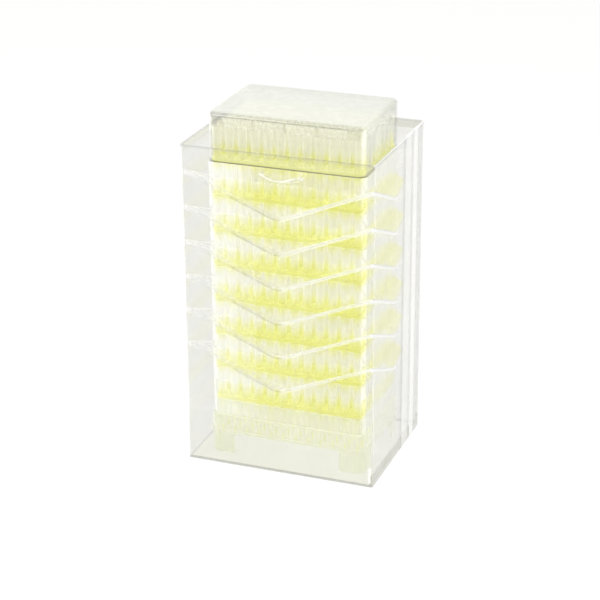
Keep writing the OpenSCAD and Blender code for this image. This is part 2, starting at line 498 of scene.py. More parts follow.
@dataclass(frozen=True)
class ClearSheet:
    """Clear polyester sheet, folded or thermoformed: glossy, see-through, with a faint haze.

    Handling smudges it, and forming draws it down the mould, which leaves it
    slightly wavy with marks that run up and down. Light that travels inside the
    sheet comes out at its cut edges and folds, so those look white or dark; the
    marks paint this on as highlights and shade, and paint more highlights, shade
    and yellow light from the decks elsewhere. Lengths are in millimetres.
    """

    name: str
    # Share of light left after a way of one wall's thickness
    clearness: float = 0.975
    # Share of white scatter all over, and what a smudge adds to it
    haze: float = 0.02
    smudge: float = 0.03
    smudge_size: float = 40.0
    wave_size: float = 25.0
    wave_height: float = 0.05
    # How many times longer the smudges and waves are upwards than across
    drawn: float = 1.0
    roughness: float = 0.05
    slant: Slant = Slant()
    haze_colour: str = "#ffffff"
    haze_roughness: float = 0.5
    # Share and colour of the light that goes on inside the tower
    lets_in: float = 1.0
    inner_light: str = "#fdfdfd"
    # Marks: painted highlights, painted shade and painted yellow light from the decks, and in a few
    # places the sheet's own haze
    marks: tuple[Mark, ...] = ()

    def pattern(self, tree: Tree, size: float, detail: float) -> Socket:
        """Makes noise that is drawn out along Z.

        Args:
            tree: The material's node tree.
            size: The pattern's width in millimetres.
            detail: How many finer layers are added.

        Returns:
            The noise at a point, from 0 to 1.
        """
        place = add_node(tree, Kind.PLACE).outputs["Object"]
        drawn = add_node(
            tree,
            Kind.VECTOR_MATH,
            {"operation": "MULTIPLY", 1: (1.0, 1.0, 1.0 / self.drawn), 0: place},
        )
        noise = add_node(
            tree, Kind.NOISE, {"Scale": per_metre(size), "Detail": detail, "Vector": drawn}
        )
        return noise.outputs["Fac"]

    def total(self, tree: Tree, quality: Quality, start: Socket | float = 0.0) -> Socket | float:
        """Adds up one quality of all the marks.

        Args:
            tree: The material's node tree.
            quality: The quality to add up.
            start: What the sum starts from.

        Returns:
            The sum at a point.
        """
        place = add_node(tree, Kind.PLACE).outputs["Object"]
        parts = add_node(tree, Kind.SEPARATE_XYZ, {0: place})
        total = start
        for mark in self.marks:
            amount = getattr(mark, quality.value)
            if amount:
                total = add_node(
                    tree,
                    Kind.MATH,
                    {"operation": "MULTIPLY_ADD", 1: amount, 0: mark.inside(tree, parts), 2: total},
                ).outputs[0]
        return total

    def seen_through(self, tree: Tree, path: Socket) -> Node:
        """Makes the part of the sheet that the eye sees straight through.

        Args:
            tree: The material's node tree.
            path: The length of the way through the wall.

        Returns:
            A clear shader, tinted clearness to the power of the path, times 1 less the
            marks' shade, and its blue times 1 less their warmth.
        """
        left = add_node(tree, Kind.MATH, {"operation": "POWER", 0: self.clearness, 1: path})
        shade, warmth = self.total(tree, Quality.SHADE), self.total(tree, Quality.WARMTH)
        lit = add_node(
            tree, Kind.MATH, {"operation": "SUBTRACT", "use_clamp": True, 0: 1.0, 1: shade}
        )
        passing = add_node(tree, Kind.MATH, {"operation": "MULTIPLY", 0: left, 1: lit})
        cold = add_node(tree, Kind.MATH, {"operation": "SUBTRACT", 0: 1.0, 1: warmth})
        blue = add_node(tree, Kind.MATH, {"operation": "MULTIPLY", 0: passing, 1: cold})
        tint = add_node(tree, Kind.COMBINE_COLOUR, {0: passing, 1: passing, 2: blue})
        return add_node(tree, Kind.TRANSPARENT, {"Color": tint})

    def fog(self, tree: Tree, path: Socket) -> Node:
        """Works out how much of the sheet is white scatter.

        Args:
            tree: The material's node tree.
            path: The length of the way through the wall.

        Returns:
            The path times the sum of the sheet's haze, its smudges and the marks' haze, much of
            which is painted highlight.
        """
        veil = add_node(
            tree,
            Kind.MAP_RANGE,
            {
                "From Min": SMUDGE_LIMITS[0],
                "From Max": SMUDGE_LIMITS[1],
                "To Min": self.haze,
                "To Max": self.haze + self.smudge,
                "Value": self.pattern(tree, self.smudge_size, 1.0),
            },
        ).outputs[0]
        scatter = self.total(tree, Quality.HAZE, veil)
        return add_node(
            tree, Kind.MATH, {"operation": "MULTIPLY", "use_clamp": True, 0: scatter, 1: path}
        )

    def build(self) -> bpy.types.Material:
        """Makes the material.

        Returns:
            A mix of see-through, mirror and haze.
        """
        material, tree = new_material(self.name)
        bump = add_node(
            tree,
            Kind.BUMP,
            {
                "Strength": 1.0,
                "Distance": self.wave_height * MM,
                "Height": self.pattern(tree, self.wave_size, 0.0),
            },
        )
        lean = add_node(
            tree, Kind.LAYER_WEIGHT, {"Blend": EVEN_BLEND, "Normal": bump}
        ).outputs["Facing"]
        path = self.slant.path(tree, lean)
        passed = self.seen_through(tree, path)
        mirror = add_node(
            tree,
            Kind.GLOSSY,
            {"Color": srgb("#ffffff"), "Roughness": self.roughness, "Normal": bump},
        )
        clear = add_node(
            tree, Kind.MIX_SHADER, {0: self.slant.mirrored(tree, lean), 1: passed, 2: mirror}
        )
        body = add_node(
            tree,
            Kind.PRINCIPLED,
            {
                "Base Color": srgb(self.haze_colour),
                "Roughness": self.haze_roughness,
                "IOR": POLYESTER_IOR,
            },
        )
        seen = add_node(tree, Kind.MIX_SHADER, {0: self.fog(tree, path), 1: clear, 2: body})
        surface = let_light_in(tree, seen, self.inner_light, self.lets_in)
        add_node(tree, Kind.SURFACE_OUT, {"Surface": surface})
        return material


@dataclass(frozen=True)
class MouldedPolypropylene:
    """Injection-moulded polypropylene: satin skin, and light goes some way through it.

    The share that glows through is a translucent layer behind the skin, and
    thin parts are also partly see-through, less so where they lean from the eye,
    which draws a grey line down each side of a tip. Lengths are in millimetres.
    """

    name: str
    # The skin, and the light that glows through it
    colour: str
    through: str
    glow: float = 0.4
    # Shares that are seen, and left, after a way of one wall's thickness
    see_through: float = 0.0
    clearness: float = 1.0
    # Share and colour of the light that goes on inside the tower
    lets_in: float = 0.5
    inner_light: str = "#ffffff"
    roughness: float = 0.3
    gloss: float = 0.15
    slant: Slant = Slant(least=0.1, facing_mirror=0.039)
    # The flow of the melt, slightly darker in places
    mottle_size: float = 12.0
    mottle: float = 0.05
    # Painted yellow light from the decks: the colour a tip is painted with near a deck, of itself
    # and of what is seen through it
    painted_deck_yellow: str | None = None
    painted_yellow_behind: str = "#fefed0"
    # Top of the lowest deck, and how far over and under a deck the painted yellow reaches
    lowest_deck: float = 43.2
    deck_height: float = 2.2
    painted_yellow_full: float = 1.5
    painted_yellow_over: float = 11.5
    painted_yellow_under: float = 9.0
    painted_yellow_fade: float = 1.5

    def painted_yellow_share(self, tree: Tree, place: Socket) -> Socket:
        """Works out how much painted yellow light from the decks a tip gets near a deck.

        Args:
            tree: The material's node tree.
            place: The point's place in metres.

        Returns:
            A share that is 1 at a deck, and fades to 0 over painted_yellow_over above it and
            painted_yellow_under below it. No yellow is painted under the lowest deck, nor from
            a deck above the highest.
        """
        height = add_node(tree, Kind.SEPARATE_XYZ, {0: place}).outputs["Z"]
        start = self.lowest_deck * MM
        over = add_node(tree, Kind.MATH, {"operation": "SUBTRACT", 1: start, 0: height})
        over_deck = add_node(
            tree, Kind.MATH, {"operation": "FLOORED_MODULO", 1: TIER_PITCH * MM, 0: over}
        ).outputs[0]
        has_deck_over = add_node(
            tree, Kind.MATH, {"operation": "LESS_THAN", 1: HIGHEST_DECK * MM, 0: height}
        ).outputs[0]
        has_deck_under = add_node(
            tree,
            Kind.MATH,
            {"operation": "GREATER_THAN", 1: (self.lowest_deck - self.deck_height) * MM, 0: height},
        ).outputs[0]
        next_deck = TIER_PITCH - self.deck_height
        shares = []
        for none_at, whole_at, limit in (
            (self.painted_yellow_over, self.painted_yellow_full, has_deck_under),
            (next_deck - self.painted_yellow_under, next_deck, has_deck_over),
        ):
            nearness = add_node(
                tree,
                Kind.MAP_RANGE,
                {
                    "From Min": none_at * MM,
                    "From Max": whole_at * MM,
                    "To Min": 0.0,
                    "Value": over_deck,
                    "To Max": limit,
                },
            )
            share = add_node(
                tree, Kind.MATH, {"operation": "POWER", 1: self.painted_yellow_fade, 0: nearness}
            )
            shares.append(share.outputs[0])
        most = add_node(tree, Kind.MATH, {"operation": "MAXIMUM", 0: shares[0], 1: shares[1]})
        return most.outputs[0]

    def clear_share(self, tree: Tree, path: Socket, surface: Node, colour: Any) -> Node:
        """Mixes in what is seen straight through the wall.

        Args:
            tree: The material's node tree.
            path: The length of the way through the wall.
            surface: The wall itself.
            colour: The tint of what is seen through it, linear values or a socket.

        Returns:
            The wall, see_through to the power of the path of it clear.
        """
        share = add_node(tree, Kind.MATH, {"operation": "POWER", 0: self.see_through, 1: path})
        left = add_node(tree, Kind.MATH, {"operation": "POWER", 0: self.clearness, 1: path})
        tint = add_node(tree, Kind.VECTOR_MATH, {"operation": "SCALE", 0: colour, "Scale": left})
        clear = add_node(tree, Kind.TRANSPARENT, {"Color": tint})
        return add_node(tree, Kind.MIX_SHADER, {0: share, 1: surface, 2: clear})

    def with_painted_light(self, tree: Tree, share: Socket, unpainted: Any, deep: str) -> Socket:
        """Turns a colour towards a deep one, to paint yellow light from the decks on.

        Args:
            tree: The material's node tree.
            share: 0 where the colour stays and 1 where it is the deep one.
            unpainted: The colour to start from, linear values or a socket.
            deep: The deep colour, in sRGB hex.

        Returns:
            The colour at a point.
        """
        values = {"data_type": "RGBA", 0: share, 6: unpainted, 7: srgb(deep)}
        return add_node(tree, Kind.MIX_COLOUR, values).outputs[2]

    def build(self) -> bpy.types.Material:
        """Makes the material.

        Returns:
            A satin skin mixed with light that comes through.
        """
        material, tree = new_material(self.name)
        place = add_node(tree, Kind.PLACE).outputs["Object"]
        grain = {"Scale": per_metre(self.mottle_size), "Detail": 0.0, "Vector": place}
        flow = add_node(tree, Kind.NOISE, grain).outputs["Fac"]
        shade = add_node(
            tree,
            Kind.MAP_RANGE,
            {
                "From Min": NOISE_LIMITS[0],
                "From Max": NOISE_LIMITS[1],
                "To Min": 1.0 - self.mottle,
                "To Max": 1.0,
                "Value": flow,
            },
        )
        skin_colour = srgb(self.colour)
        mottled = {"data_type": "RGBA", "blend_type": "MULTIPLY", 0: 1.0, 6: skin_colour, 7: shade}
        outer = add_node(tree, Kind.MIX_COLOUR, mottled).outputs[2]
        inner = srgb(self.through)
        behind = inner[:3]
        # Painted yellow light from the decks: near a deck, the skin, the glow and what is seen
        # through turn yellow
        if self.painted_deck_yellow:
            share = self.painted_yellow_share(tree, place)
            outer = self.with_painted_light(tree, share, outer, self.painted_deck_yellow)
            behind = self.with_painted_light(tree, share, inner, self.painted_yellow_behind)
            inner = self.with_painted_light(tree, share, inner, self.painted_deck_yellow)
        skin = add_node(
            tree,
            Kind.PRINCIPLED,
            {"Roughness": self.roughness, "IOR": POLYPROPYLENE_IOR, "Base Color": outer},
        )
        glow = add_node(tree, Kind.TRANSLUCENT, {"Color": inner})
        surface = add_node(tree, Kind.MIX_SHADER, {0: self.glow, 1: skin, 2: glow})
        if self.see_through > 0:
            lean = add_node(tree, Kind.LAYER_WEIGHT, {"Blend": EVEN_BLEND}).outputs["Facing"]
            surface = self.clear_share(tree, self.slant.path(tree, lean), surface, behind)
            mirror = add_node(
                tree, Kind.GLOSSY, {"Color": srgb("#ffffff"), "Roughness": self.gloss}
            )
            mirrored = self.slant.mirrored(tree, lean)
            surface = add_node(tree, Kind.MIX_SHADER, {0: mirrored, 1: surface, 2: mirror})
        lit = let_light_in(tree, surface, self.inner_light, self.lets_in)
        add_node(tree, Kind.SURFACE_OUT, {"Surface": lit})
        return material


# ---------------------------------------------------------------- the tips


@dataclass
class TipRack:
    """Ninety-six hollow tips standing in one deck.

    Lengths are in millimetres. A tip's heights are measured from its shoulder,
    which rests on the top of the deck.
    """

    tier: int
    columns: int = 12
    rows: int = 8
    pitch: float = 9.0
    hub_radius: float = 3.2
    collar_radius: float = 3.35
    collar_height: float = 3.0
    mouth_radius: float = 2.6
    seat_radius: float = 2.9
    neck_radius: float = 2.35
    neck_bore: float = 1.75
    end_radius: float = 0.5
    end_bore: float = 0.25
    sides: int = 12
    crisp_deg: float = 40.0
    profile: np.ndarray = field(init=False)
    shoulder: float = field(init=False)

    def __post_init__(self) -> None:
        """Reads the rack's heights from the frame and works out a tip's profile."""
        low, high = (np.array(c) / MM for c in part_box(f"tips_{self.tier}"))
        self.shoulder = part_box(f"deck_{self.tier}")[1][2] / MM
        end, mouth = low[2] - self.shoulder, high[2] - self.shoulder
        collar = mouth - self.collar_height
        self.profile = np.array(
            [
                (self.end_bore, end),
                (self.end_radius, end),
                (self.neck_radius, 0.0),
                (self.seat_radius, 0.0),
                (self.hub_radius, collar),
                (self.collar_radius, collar),
                (self.collar_radius, mouth),
                (self.mouth_radius, mouth),
                (self.neck_bore, 0.0),
            ]
        )

    def one_tip(self) -> tuple[np.ndarray, np.ndarray]:
        """Turns the closed profile about its axis.

        Point (i, j) is profile point i turned by j shares of a full turn:
        x = r cos a, y = r sin a, z = height.

        Returns:
            Points in millimetres, and the quads between neighbouring rings.
        """
        radius, height = self.profile.T
        angle = np.linspace(0.0, 2.0 * math.pi, self.sides, endpoint=False)
        x = radius[:, None] * np.cos(angle)
        y = radius[:, None] * np.sin(angle)
        z = np.broadcast_to(height[:, None], x.shape)
        points = np.stack([x, y, z], axis=-1).reshape(-1, 3)
        ring, step = np.meshgrid(np.arange(len(radius)), np.arange(self.sides), indexing="ij")
        next_ring, next_step = (ring + 1) % len(radius), (step + 1) % self.sides
        quads = np.stack(
            [
                ring * self.sides + step,
                ring * self.sides + next_step,
                next_ring * self.sides + next_step,
                next_ring * self.sides + step,
            ],
            axis=-1,
        )
        return points, quads.reshape(-1, 4)

    def build(self, material: bpy.types.Material) -> bpy.types.Object:
        """Sets one tip at every hole of the deck.

        Args:
            material: The tips' finish.

        Returns:
            The piece that stands for the rack's tips.
        """
        points, quads = self.one_tip()
        column, row = np.meshgrid(np.arange(self.columns), np.arange(self.rows), indexing="ij")
        places = np.stack(
            [
                (column - (self.columns - 1) / 2) * self.pitch,
                (row - (self.rows - 1) / 2) * self.pitch,
                np.full(column.shape, self.shoulder),
            ],
            axis=-1,
        ).reshape(-1, 1, 3)
        all_points = (places + points[None]).reshape(-1, 3) * MM
        offsets = (np.arange(len(places)) * len(points))[:, None, None]
        all_quads = (quads[None] + offsets).reshape(-1, 4)
        piece = mesh_from_arrays(f"tip_set_{self.tier}", all_points, all_quads, self.crisp_deg)
        piece.data.materials.append(material)
        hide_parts(f"tips_{self.tier}")
        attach(piece, "tower")
        LOG.info("built %s: %d faces", piece.name, len(all_quads))
        return piece


# ---------------------------------------------------------------- the box


def carton_marks() -> tuple[Mark, ...]:
    """Places painted highlights and shade on the carton's folds, rim, foot and glued seam flap, in
    millimetres.

    Returns:
        The carton's marks, from its corners and rim down to its foot and flap.
    """
    right_wall, right_face = Span(Axis.X, 65.3), Span(Axis.X, 66.3)
    left_face = Span(Axis.X, high=-66.3)
    ends, back_wall, front_face = both(Axis.Y, 51.1), Span(Axis.Y, 50.5), Span(Axis.Y, high=-51.1)
    floor, floor_edge = Span(Axis.Z, high=1.2), Span(Axis.Z, high=1.5)
    # Strips of painted highlight and painted shade over the glued seam, from the flap's edge to the
    # back fold: place, haze and shade
    seam_painted_strips = (
        (9.0, 12.5, 0.0, 0.15),
        (12.5, 25.5, 0.08, 0.0),
        (25.5, 30.5, 0.03, 0.10),
        (30.5, 38.5, 0.18, 0.0),
        (38.5, 50.0, 0.06, 0.10),
    )
    return (
        # Upright folds: painted grey shade and a faint highlight down each, and a brighter painted
        # highlight down the front right one
        Zone(haze=0.06, shade=0.10, spans=(both(Axis.X, 66.3), ends)),
        Zone(haze=0.10, spans=(right_face, front_face)),
        # Cut rim: painted grey shade along the top, and a painted highlight along the right wall's
        # rim
        Zone(haze=0.02, shade=0.05, spans=(Span(Axis.Z, 226.4),)),
        Zone(shade=0.10, spans=(Span(Axis.Z, 227.4),)),
        Zone(haze=0.12, spans=(right_wall, Span(Axis.Z, 227.2))),
        # Back and left walls, which are seen through everything else: painted shade, olive grey at
        # the back rim
        Zone(shade=0.07, spans=(back_wall, Span(Axis.Z, high=222.0))),
        Zone(shade=0.15, warmth=0.02, spans=(back_wall, Span(Axis.Z, 222.0, 227.4))),
        Zone(shade=0.06, spans=(left_face,)),
        # Floor and the folds round it: painted shade and yellow on the floor, and a painted contact
        # shadow along its edges
        Zone(haze=0.05, shade=0.10, warmth=0.07, spans=(floor,)),
        Zone(shade=0.30, spans=(ends, floor_edge)),
        Zone(shade=0.15, spans=(right_face, floor_edge)),
        Zone(shade=0.06, spans=(left_face, floor_edge)),
        # Painted olive shade along the foot of the right wall
        Zone(haze=0.05, shade=0.24, warmth=0.06, spans=(right_wall, Span(Axis.Z, 1.5, 9.0))),
        # A faint haze, with a little shade and yellow, over the lower front and back walls
        Zone(haze=0.02, shade=0.01, warmth=0.01, spans=(ends, Span(Axis.Z, 1.5, 38.0))),
        # Right wall: painted shade, deeper where the seam flap doubles it, and the seam's strips
        Zone(shade=0.03, warmth=0.01, spans=(right_wall, Span(Axis.Y, 9.0, 50.0))),
        Zone(shade=0.02, warmth=0.01, spans=(right_wall, Span(Axis.Y, -50.0, 9.0))),
        *(
            Zone(haze=haze, shade=shade, spans=(right_wall, Span(Axis.Y, low, high)))
            for low, high, haze, shade in seam_painted_strips
        ),
        # Painted highlight at the foot of the front right corner
        Zone(
            haze=0.25,
            spans=(Span(Axis.X, 64.2, 66.0), Span(Axis.Y, high=-51.0), Span(Axis.Z, 3.0, 14.0)),
        ),
    )


def sleeve_marks() -> tuple[Mark, ...]:
    """Places painted highlights, shade and yellow light on the sleeves' lips, flanges, walls and
    tab, in millimetres.

    The light comes from the front left, so a lip is painted with highlights where
    it rises to the right and with a grey line of shade where it rises to the left.

    Returns:
        The sleeves' marks, from the lips inwards to the walls and the tab.
    """
    right_half, left_half = Span(Axis.X, 2.0), Span(Axis.X, high=2.0)
    lip, flange, seam = both(Axis.Y, 50.1), both(Axis.Y, 38.5, 50.1), both(Axis.Y, 37.8, 38.7)
    left_of_tower, over_tower = Span(Axis.X, high=-56.0), Span(Axis.X, -33.0, 2.0)
    side_lip, front_half = Span(Axis.X, 64.8), Span(Axis.Y, high=2.0)
    wall, end_wall = both(Axis.Y, 36.5, 38.0), both(Axis.X, 54.6, 56.2)
    tab, tab_height = both(Axis.X, 0.0, 14.2), Span(Axis.Z, 199.0, 212.5)
    painted_deck_glow = ((0.02, 15.2, 20.6), (0.02, 13.8, 22.0), (0.015, 12.2, 24.3))
    return (
        # Lip along the front and back, rising to the left: a painted olive grey line of shade over
        # the tower, and a faint painted highlight beyond it
        SlopeBand(shade=0.13, warmth=0.07, low=9.0, high=9.9, spans=(over_tower, lip)),
        SlopeBand(shade=0.02, warmth=0.02, low=9.9, high=11.9, spans=(over_tower, lip)),
        SlopeBand(haze=0.06, low=9.0, high=11.9, spans=(left_of_tower, lip)),
        # The same lip, rising to the right: painted highlights on its two edges, and a faint one
        # between
        SlopeBand(haze=0.24, warmth=0.02, low=11.0, high=11.9, spans=(right_half, lip)),
        SlopeBand(haze=0.16, warmth=0.02, low=9.0, high=9.8, spans=(right_half, lip)),
        Zone(haze=0.05, warmth=0.01, spans=(right_half, lip)),
        # Flange, and the bend where it leaves the skirt: painted highlights, brighter on the right
        # half
        Zone(haze=0.20, warmth=0.02, spans=(right_half, seam)),
        Zone(haze=0.035, warmth=0.01, spans=(right_half, flange)),
        Zone(haze=0.01, warmth=0.01, spans=(left_half, flange)),
        # Lip along the right wall, a painted highlight under a painted grey line of shade, and the
        # left one behind it all, also a painted highlight, with faint haze on the side flanges
        SlopeBand(haze=0.60, along=Axis.Y, low=15.0, high=17.1, spans=(side_lip, front_half)),
        SlopeBand(
            haze=0.05, shade=0.25, along=Axis.Y, low=17.1, high=17.9, spans=(side_lip, front_half)
        ),
        Zone(haze=0.35, spans=(Span(Axis.X, high=-64.8),)),
        Zone(haze=0.03, spans=(both(Axis.X, 56.5, 64.8),)),
        # Right end: painted yellow light from the decks on the flanges, with a little haze and
        # shade
        Zone(
            haze=0.02,
            shade=0.02,
            warmth=0.36,
            spans=(Span(Axis.X, 54.6, 64.8), Span(Axis.Y, -6.0, 38.0), each_tier(16.4, 24.4)),
        ),
        # Thin upright stripes of painted highlight down the end walls
        Zone(haze=0.07, spans=(end_wall, Span(Axis.Y, 0.0, 1.7, pitch=6.0))),
        # Front and back walls: painted yellow light held round each deck in steps, and more of it,
        # with a little painted shade, to the right
        *(
            Zone(warmth=warmth, spans=(wall, each_tier(low, high)))
            for warmth, low, high in painted_deck_glow
        ),
        Zone(shade=0.004, warmth=0.036, spans=(wall, Span(Axis.X, -15.0))),
        Zone(
            shade=0.02, warmth=0.05, spans=(wall, Span(Axis.X, -30.0), Span(Axis.Z, 188.0, 213.0))
        ),
        Zone(shade=0.008, warmth=0.008, spans=(wall, Span(Axis.X, 14.0))),
        # and painted highlight to the left
        Zone(haze=0.05, spans=(wall, Span(Axis.X, high=-22.0))),
        Zone(haze=0.05, spans=(wall, Span(Axis.X, high=-36.0))),
        # Painted highlights along the edges of the thumb tab
        Zone(haze=0.45, spans=(both(Axis.X, 12.8, 14.3), Span(Axis.Y, high=-39.0), tab_height)),
        Zone(haze=0.45, spans=(tab, Span(Axis.Y, high=-49.6), tab_height)),
    )


def cover_marks() -> tuple[Mark, ...]:
    """Places painted shade and highlights on the cover's foot, edges, pressed panels and grips, and
    its milky top, in millimetres.

    Returns:
        The cover's marks, from its foot up, and then its panels and grips.
    """
    long_walls, top_face = both(Axis.Y, 35.2), both(Axis.Y, 0.0, 34.2)
    panel_row, panel_height = both(Axis.X, 0.0, 44.0), Span(Axis.Z, 242.0, 244.5)
    panel_pitch, panel_from, panel_to, panel_edge = 22.0, 1.2, 20.8, 0.8
    panel = Span(Axis.X, panel_from, panel_to, pitch=panel_pitch)
    panel_left = Span(Axis.X, panel_from, panel_from + panel_edge, pitch=panel_pitch)
    panel_right = Span(Axis.X, panel_to - panel_edge, panel_to, pitch=panel_pitch)
    return (
        # Cut foot: a dark line of painted shade on the ledge
        Zone(shade=0.62, spans=(Span(Axis.Z, high=213.75),)),
        # Top face, milky, and painted grey shade on the bend that rounds it off
        Zone(haze=0.08, shade=0.02, warmth=0.01, spans=(Span(Axis.Z, 244.8), top_face)),
        Zone(shade=0.15, warmth=0.03, spans=(both(Axis.Y, 34.2), Span(Axis.Z, 243.5))),
        # Front and back walls: painted shade with a yellow tint that deepens upwards, and a haze
        # round the foot
        Zone(shade=0.06, warmth=0.04, spans=(long_walls, Span(Axis.Z, 219.0, 238.0))),
        Zone(haze=0.07, shade=0.02, spans=(long_walls, Span(Axis.Z, 214.6, 219.0))),
        Zone(shade=0.10, warmth=0.05, spans=(long_walls, Span(Axis.Z, 238.0, 243.5))),
        # Grey lines of painted shade along the top's edges and down the corners
        Zone(haze=0.05, shade=0.22, spans=(both(Axis.Y, 36.25), Span(Axis.Z, 246.1))),
        Zone(haze=0.05, shade=0.20, spans=(both(Axis.X, 54.25), Span(Axis.Z, 246.1))),
        Zone(haze=0.04, shade=0.20, spans=(both(Axis.X, 54.0), both(Axis.Y, 36.0))),
        # Pressed panels, with painted light: a highlight on the lower edge, faint haze on the face,
        # shade on the upper edge and highlights at the ends
        Zone(haze=0.12, spans=(long_walls, panel_row, panel, Span(Axis.Z, 242.0, 242.7))),
        Zone(haze=0.03, spans=(long_walls, panel_row, panel, panel_height)),
        Zone(shade=0.06, spans=(long_walls, panel_row, panel, Span(Axis.Z, 244.0, 244.6))),
        Zone(haze=0.08, spans=(long_walls, panel_row, panel_left, panel_height)),
        Zone(haze=0.08, spans=(long_walls, panel_row, panel_right, panel_height)),
        # Painted highlight along the half-round grips in the ends
        Arch(haze=0.15, foot_z=216.5, radius=22.6, width=1.0, wall_x=53.0),
    )


@dataclass
class TipBox:
    """The carton, its base, the nested racks and the cover."""

    tiers: int = 8
    # Folded and glued polyester sheet: almost water-clear, seen by its mirrored light
    # and by painted highlights and grey shade on its cut and folded edges and seam strips
    carton: ClearSheet = ClearSheet(
        "folded_clear_sheet", clearness=0.985, haze=0.012, smudge=0.02, marks=carton_marks()
    )
    # Thin thermoformed polyester: drawn down the mould, so its walls ripple finely and
    # look streaked up and down, with painted highlights on its bends and painted yellow light
    sleeve: ClearSheet = ClearSheet(
        "formed_clear_sheet",
        clearness=0.993,
        haze=0.01,
        smudge=0.035,
        smudge_size=3.0,
        wave_size=6.0,
        wave_height=0.04,
        drawn=8.0,
        marks=sleeve_marks(),
    )
    # Stiffer thermoformed polyester with a light scuff: the top looks milky, and the
    # edges and corners carry painted grey shade
    cover: ClearSheet = ClearSheet(
        "formed_clear_cover",
        clearness=0.955,
        haze=0.02,
        smudge=0.012,
        smudge_size=6.0,
        wave_size=14.0,
        drawn=3.0,
        haze_colour="#e8eae0",
        marks=cover_marks(),
    )
    # Moulded polypropylene off a grained tool: milky and matt, so what stands in it
    # shows only as pale streaks
    base: MouldedPolypropylene = MouldedPolypropylene(
        "frosted_polypropylene",
        colour="#fcfdf0",
        through="#fbfcee",
        glow=0.5,
        see_through=0.82,
        clearness=0.99,
        lets_in=0.95,
        roughness=0.45,
        gloss=0.3,
    )
    # Moulded polypropylene with yellow pigment: a satin plate that glows at its edges;
    # the yellow light it would cast on the tips around it is painted on the tips
    deck: MouldedPolypropylene = MouldedPolypropylene(
        "yellow_polypropylene",
        colour="#e9ea62",
        through="#f4f578",
        glow=0.5,
        see_through=0.2,
        lets_in=0.97,
        roughness=0.35,
        gloss=0.25,
    )
    # Moulded natural polypropylene off a polished tool: thin and glossy, with a white
    # streak down the middle and grey sides, and painted yellow light near a deck
    tip: MouldedPolypropylene = MouldedPolypropylene(
        "natural_polypropylene",
        colour="#fffeee",
        through="#fffff8",
        glow=0.5,
        see_through=0.66,
        clearness=0.99,
        lets_in=0.992,
        roughness=0.22,
        gloss=0.12,
        painted_deck_yellow="#f8f98c",
    )

    def build(self) -> None:
        """Dresses every solid and builds the tips, from the outside in."""
        dress("outer_carton", self.carton.build())
        dress("rack_base", self.base.build())
        dress("cap", self.cover.build())
        sleeve, deck, tip = self.sleeve.build(), self.deck.build(), self.tip.build()
        for tier in range(1, self.tiers + 1):
            dress(f"sleeve_{tier}", sleeve)
            dress(f"deck_{tier}", deck)
            TipRack(tier).build(tip)


# ---------------------------------------------------------------- the studio


@dataclass(frozen=True)
class SoftBox:
    """A square studio lamp that faces a point. Lengths are in metres, power in watts."""

    name: str
    place: tuple[float, float, float]
    aim: tuple[float, float, float]
    size: float
    power: float

    def build(self) -> bpy.types.Object:
        """Hangs the lamp.

        Returns:
            The lamp's object.
        """
        data = bpy.data.lights.new(self.name, "AREA")
        data.size = self.size
        data.energy = self.power
        lamp = bpy.data.objects.new(self.name, data)
        lamp.location = self.place
        heading = Vector(self.aim) - Vector(self.place)
        lamp.rotation_euler = heading.to_track_quat("-Z", "Y").to_euler()
        bpy.context.scene.collection.objects.link(lamp)
        return lamp


